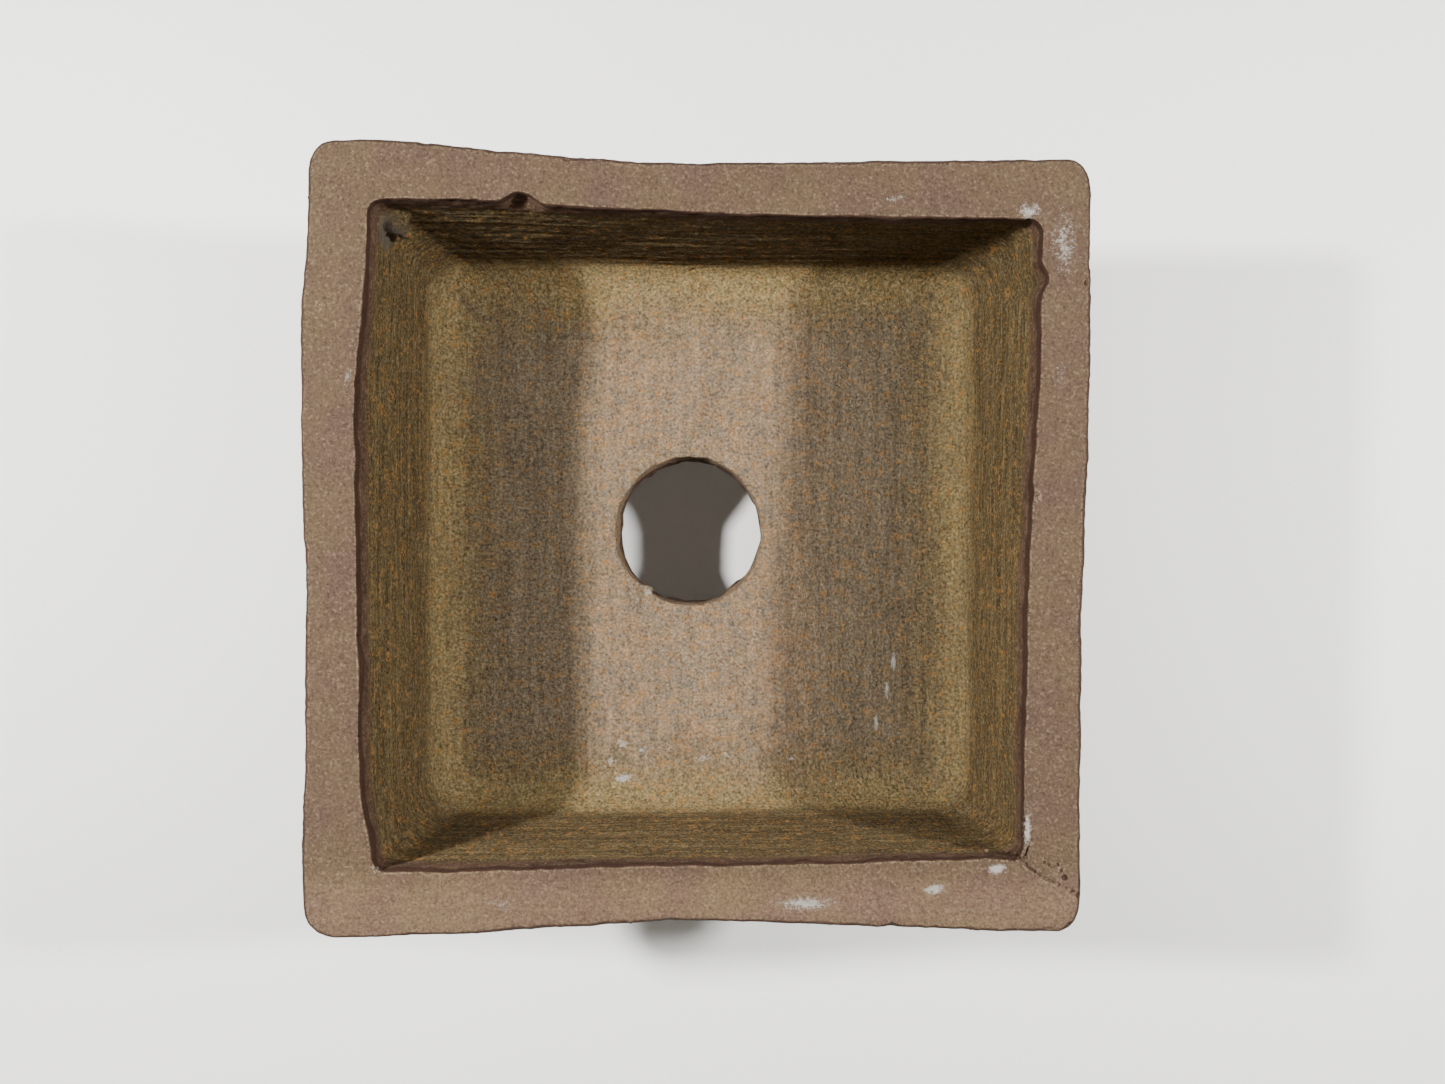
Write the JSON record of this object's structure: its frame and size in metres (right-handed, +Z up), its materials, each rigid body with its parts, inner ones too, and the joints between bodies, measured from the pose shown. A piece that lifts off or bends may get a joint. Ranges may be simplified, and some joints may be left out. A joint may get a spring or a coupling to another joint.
{
  "type": "bonsai pot",
  "caption": "Small square unglazed stoneware bonsai pot, slab-built, with a projecting lip, a drain hole in the floor and bracket feet that let water out underneath.",
  "frame": {"origin": "on the ground plane, under the middle of the pot", "axes": "+Z up, out of the opening; +X to the right and +Y to the back, each along a side of the square"},
  "size_m": [0.0778, 0.0776, 0.041],
  "materials": {
    "lip_clay": "unglazed reddish-brown stoneware, fine sandy grain, worn pale at the edges",
    "wall_clay": "unglazed stoneware, brown outside and olive-brown with wipe marks inside",
    "floor_clay": "unglazed stoneware, grey-brown with ochre grit",
    "seam_clay": "unglazed stoneware smeared by finger, olive-brown",
    "foot_clay": "unglazed reddish-brown stoneware"
  },
  "bodies": {
    "root": {"floor_slab": "floor_clay", "wall_front": "wall_clay", "wall_right": "wall_clay", "wall_back": "wall_clay", "wall_left": "wall_clay", "lip_front": "lip_clay", "lip_right": "lip_clay", "lip_back": "lip_clay", "lip_left": "lip_clay", "floor_coil_front": "seam_clay", "floor_coil_right": "seam_clay", "floor_coil_back": "seam_clay", "floor_coil_left": "seam_clay", "corner_coil_front_left": "seam_clay", "corner_coil_front_right": "seam_clay", "corner_coil_back_right": "seam_clay", "corner_coil_back_left": "seam_clay", "foot_front_left": "foot_clay", "foot_front_right": "foot_clay", "foot_back_right": "foot_clay", "foot_back_left": "foot_clay"}
  },
  "joints": []
}
